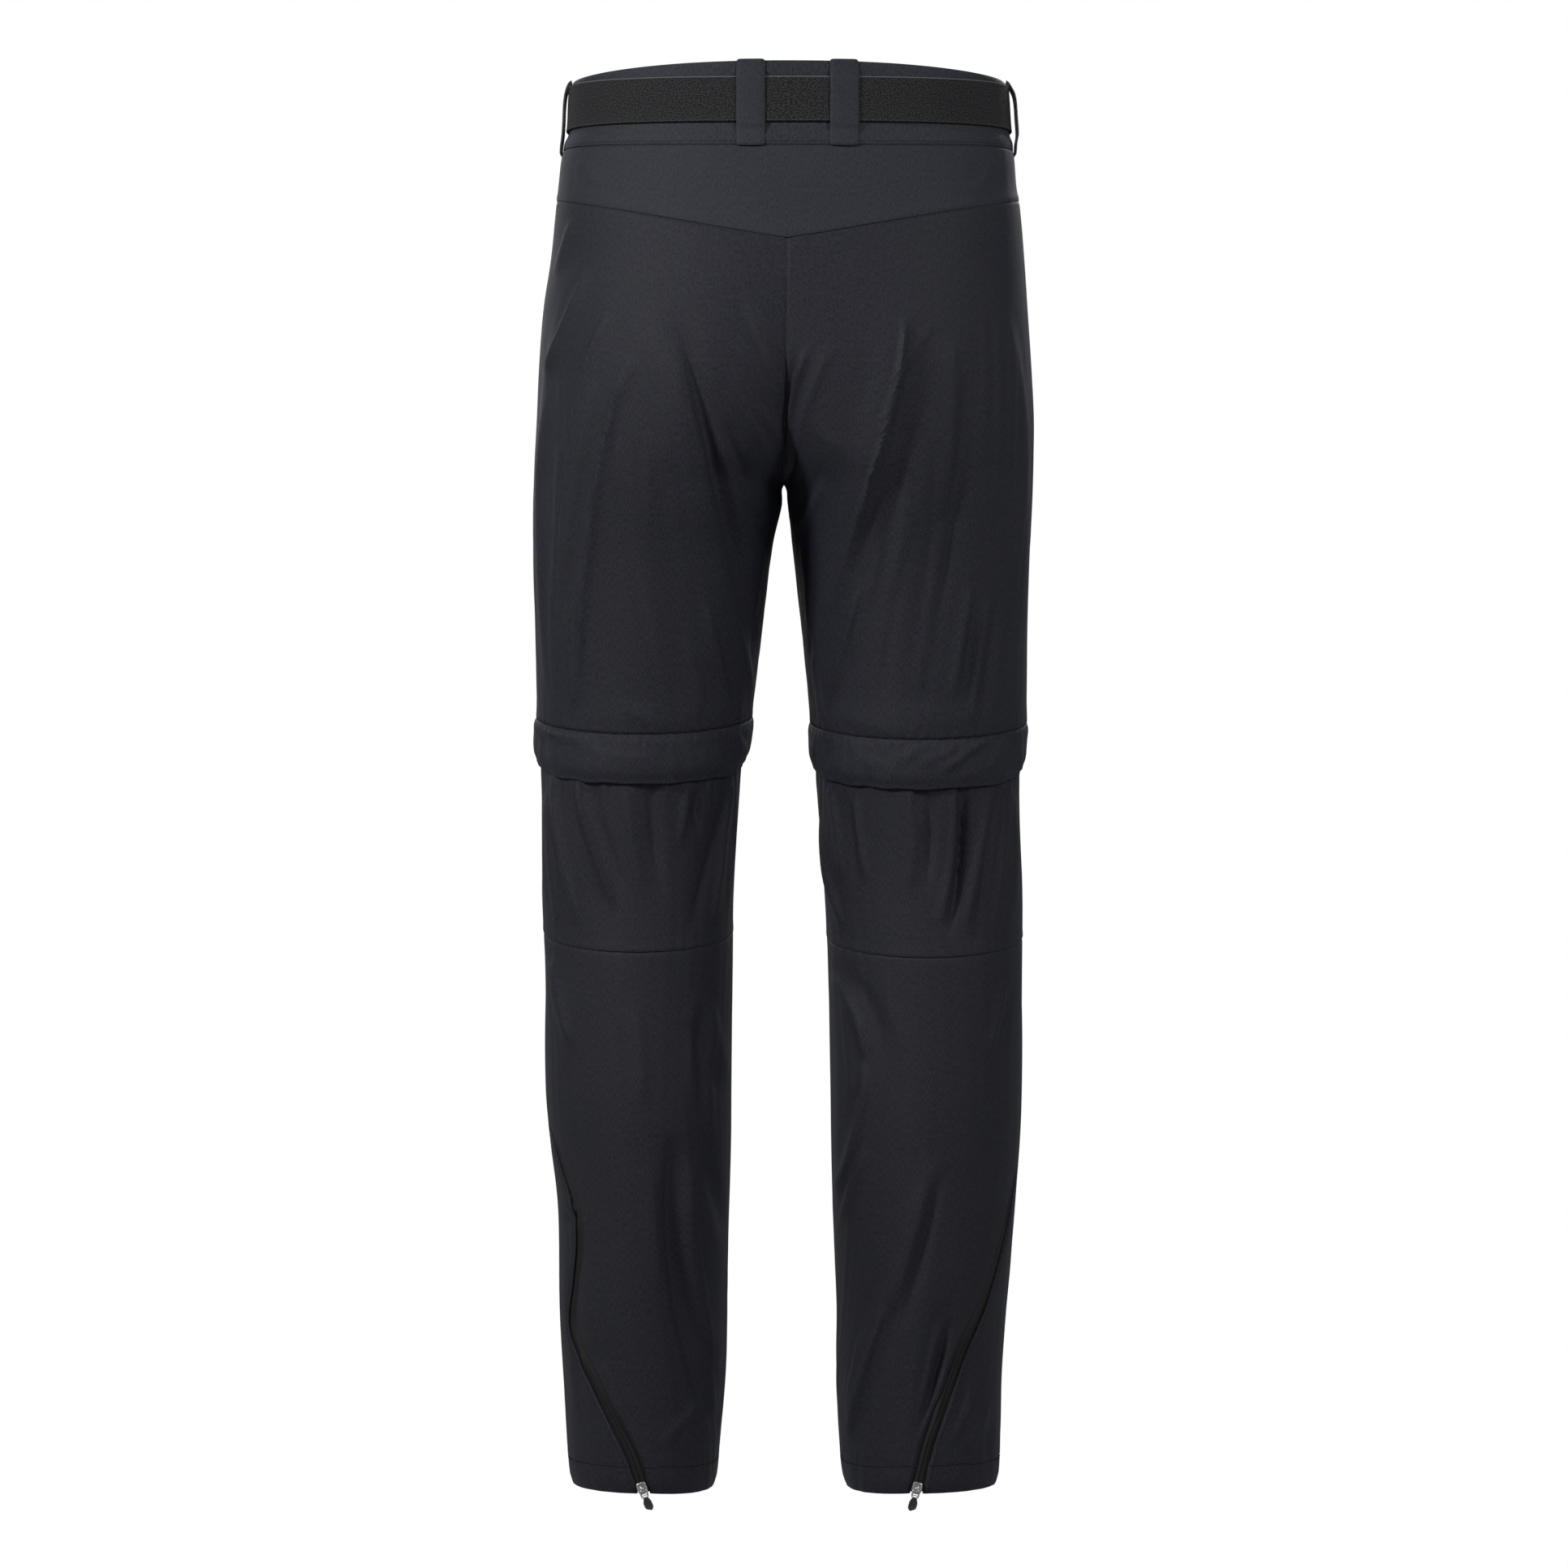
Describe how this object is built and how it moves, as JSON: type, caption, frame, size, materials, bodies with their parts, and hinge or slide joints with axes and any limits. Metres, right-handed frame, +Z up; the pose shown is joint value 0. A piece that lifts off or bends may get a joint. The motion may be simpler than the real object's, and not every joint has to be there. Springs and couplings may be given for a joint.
{
  "type": "convertible zip-off trousers",
  "caption": "Worn, filled-out hiking trousers with a webbing belt, zip-off lower legs under a covering flap, and hem zips whose pull tabs swing.",
  "frame": {"origin": "centre of the waist at the belt's mid height at the sides, where the wearer's waist holds the garment", "axes": "+Z up along the legs, +X to the wearer's right, -Y out of the wearer's back"},
  "size_m": [0.3795, 0.2431, 1.0796],
  "materials": {
    "cloth": "smooth stretch woven nylon, dark navy charcoal, slight sheen",
    "yoke_cloth": "the same cloth cut on another grain, a little lighter and bluer",
    "webbing": "black elastic webbing with fine cross ribs",
    "zip_tape": "black woven zip tape with a reversed nylon coil",
    "metal": "nickel plated die-cast zip slider",
    "moulded": "matt dark moulded plastic"
  },
  "bodies": {
    "trousers": {"waistband": "yoke_cloth", "yoke_back": "yoke_cloth", "belt": "webbing", "belt_buckle": "moulded", "fly_flap": "cloth", "loop_back_left": "yoke_cloth", "loop_back_right": "yoke_cloth", "loop_side_left": "yoke_cloth", "loop_side_right": "yoke_cloth", "loop_front_left": "yoke_cloth", "loop_front_right": "yoke_cloth", "thigh_back_left": "cloth", "thigh_back_right": "cloth", "thigh_front_left": "cloth", "thigh_front_right": "cloth", "zip_flap_left": "cloth", "zip_flap_right": "cloth", "knee_zip_left": "zip_tape", "knee_zip_right": "zip_tape", "knee_back_left": "cloth", "knee_back_right": "cloth", "knee_front_left": "cloth", "knee_front_right": "cloth", "calf_back_left": "cloth", "calf_back_right": "cloth", "shin_front_left": "cloth", "shin_front_right": "cloth", "leg_zip_left": "zip_tape", "leg_zip_right": "zip_tape", "hem_slider_left": "metal", "hem_slider_right": "metal"},
    "pull_left": {"pull_link_left": "metal", "pull_grip_left": "moulded"},
    "pull_right": {"pull_link_right": "metal", "pull_grip_right": "moulded"}
  },
  "joints": [
    {"name": "pull_swing_left", "type": "hinge", "parent": "trousers", "child": "pull_left", "pos_m": [-0.1077, -0.07147, -1.0442], "axis": [-0.9313, 0, -0.3644], "range_deg": [0, 160]},
    {"name": "pull_swing_right", "type": "hinge", "parent": "trousers", "child": "pull_right", "pos_m": [0.09634, -0.07131, -1.0442], "axis": [-0.9683, 0, 0.2498], "range_deg": [0, 160]}
  ]
}
